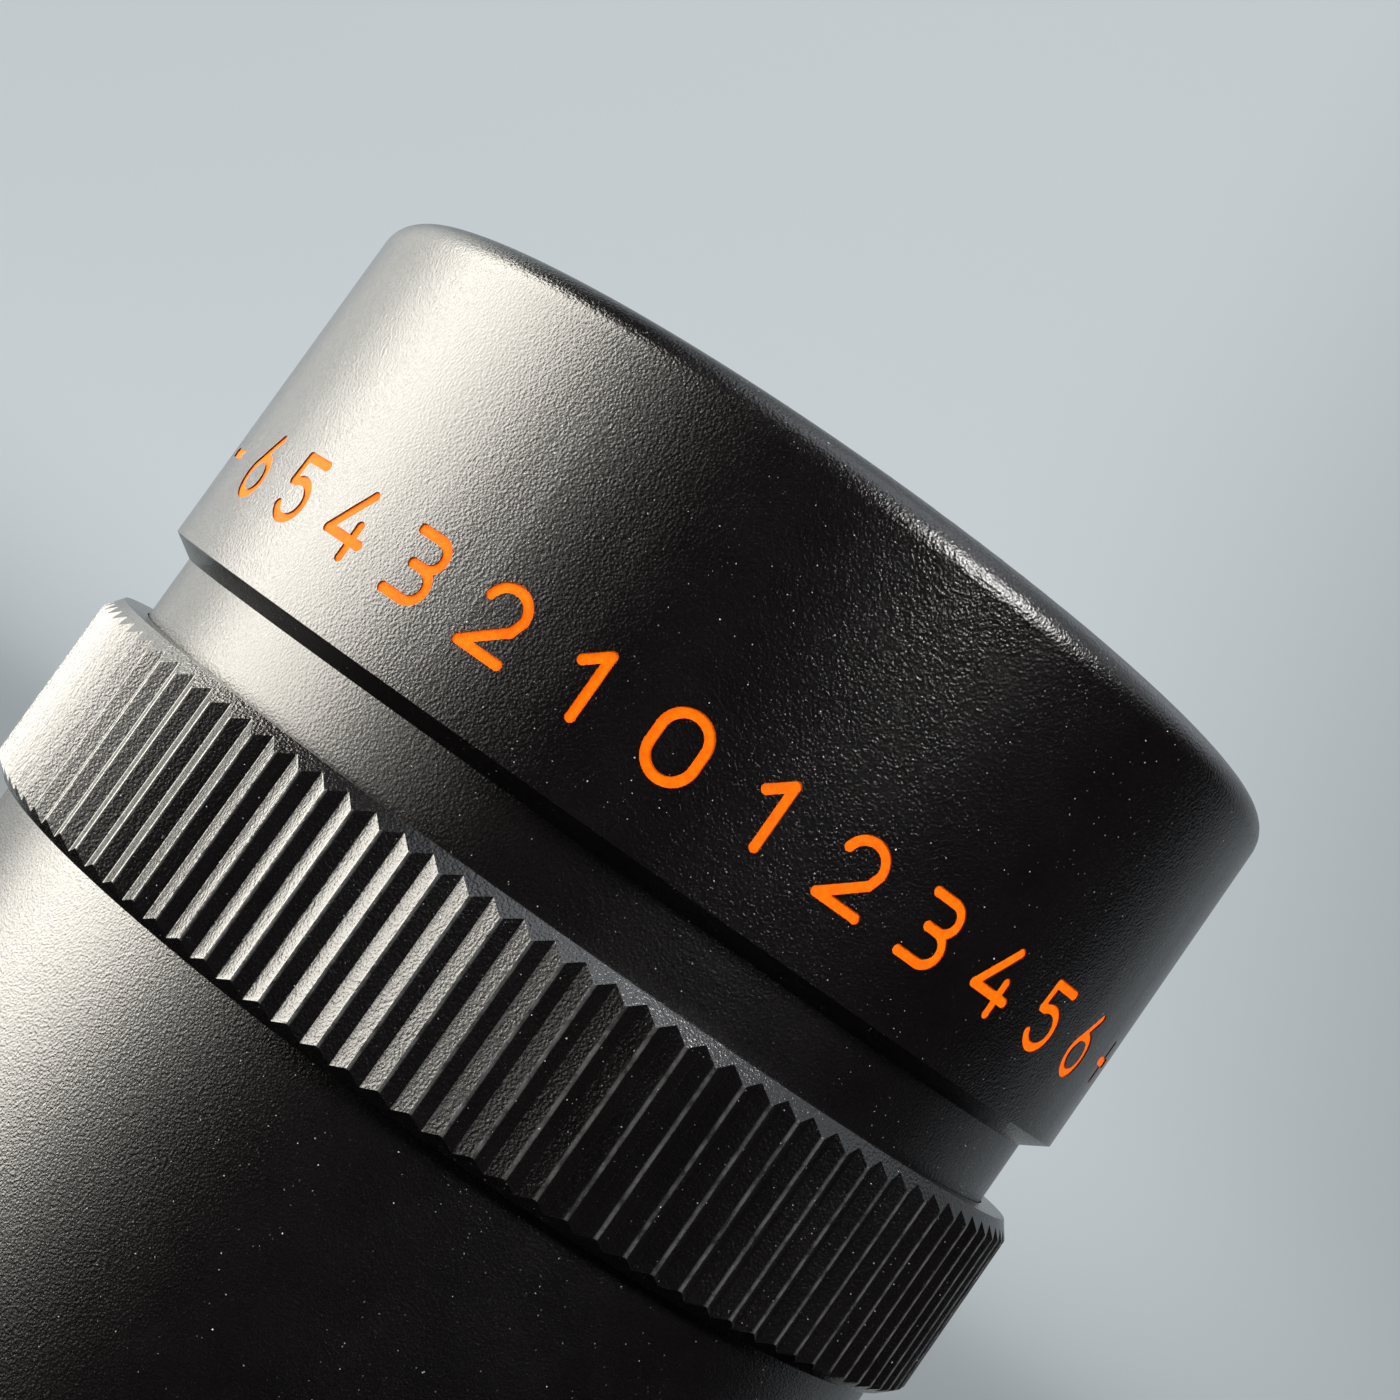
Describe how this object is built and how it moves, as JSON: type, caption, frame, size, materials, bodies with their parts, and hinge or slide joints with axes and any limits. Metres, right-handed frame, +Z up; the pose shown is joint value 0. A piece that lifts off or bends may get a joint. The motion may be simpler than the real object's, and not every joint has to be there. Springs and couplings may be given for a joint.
{
  "type": "right-angle viewfinder",
  "caption": "Black right-angle viewing finder for a camera eyepiece: slide-on shoe, swivelling prism housing, upright barrel, knurled focusing ring and engraved eyepiece.",
  "frame": {"origin": "where the objective axis crosses the front plane of the shoe lips, the face that meets the camera", "axes": "+Y points at the camera along the objective axis, +Z runs up parallel to the eyepiece tube, +X completes a right-handed frame"},
  "size_m": [0.035, 0.0464, 0.0835],
  "materials": {
    "shoe_paint": "satin black enamel on alloy",
    "flange_black": "black anodised alloy, fluted rim",
    "tube_black": "black anodised alloy",
    "housing_paint": "satin black enamel with a fine leather grain on cast alloy",
    "cover_paint": "satin black enamel with a fine leather grain on cast alloy",
    "barrel_paint": "satin black enamel with a fine grain",
    "ring_paint": "satin black enamel over machined ridges, edges polished by use",
    "neck_paint": "satin black enamel",
    "cap_paint": "satin black enamel with a fine leather grain",
    "seat_alloy": "bare milled alloy",
    "inner_black": "dull black anodised, threaded look",
    "blackened_steel": "blackened steel",
    "bright_steel": "turned steel",
    "spring_steel": "spring steel",
    "brass": "plain brass",
    "window_glass": "flat clear glass",
    "lens_glass": "polished optical glass",
    "eye_glass": "polished optical glass with a blue-violet coating",
    "prism_glass": "polished optical glass",
    "scale_orange": "orange enamel rubbed into engraved marks"
  },
  "bodies": {
    "shoe": {"shoe_plate": "shoe_paint", "swivel_flange": "flange_black", "shoe_screws": "blackened_steel", "shoe_spring": "spring_steel", "spring_rivets": "brass", "window_glass": "window_glass", "window_ring": "inner_black"},
    "housing": {"objective_tube": "tube_black", "flange_screws": "blackened_steel", "objective_crown": "lens_glass", "objective_flint": "lens_glass", "objective_retainer": "inner_black", "swivel_retainer": "bright_steel", "click_ball": "bright_steel", "click_spring": "spring_steel", "prism_housing": "housing_paint", "roof_prism": "prism_glass", "prism_seat": "seat_alloy", "seat_screws": "bright_steel", "prism_clips": "spring_steel", "clip_screws": "bright_steel", "prism_cover": "cover_paint", "cover_screws": "blackened_steel", "barrel": "barrel_paint", "collar_screws": "blackened_steel", "field_stop": "inner_black", "guide_screw": "bright_steel", "retaining_wire": "spring_steel"},
    "focusing_ring": {"diopter_ring": "ring_paint"},
    "eyepiece": {"eyepiece_sleeve": "neck_paint", "eyepiece_cap": "cap_paint", "scale_paint": "scale_orange", "field_lens": "lens_glass", "field_lens_retainer": "inner_black", "lens_spacer": "inner_black", "eye_lens_flint": "lens_glass", "eye_lens_crown": "eye_glass", "eye_lens_retainer": "inner_black"}
  },
  "joints": [
    {"name": "finder_swivel", "type": "hinge", "parent": "shoe", "child": "housing", "pos_m": [0, 0, 0], "axis": [0, 1, 0], "continuous": true},
    {"name": "diopter_turn", "type": "hinge", "parent": "housing", "child": "focusing_ring", "pos_m": [0, -0.0289, 0.05], "axis": [0, 0, 1], "range_deg": [-60, 60]},
    {"name": "eyepiece_slide", "type": "slide", "parent": "housing", "child": "eyepiece", "axis": [0, 0, 1], "range_m": [-0.0018, 0.0018]}
  ],
  "couplings": [
    {"joint": "diopter_turn", "follows": "eyepiece_slide", "rad_per_m": 581.7}
  ]
}
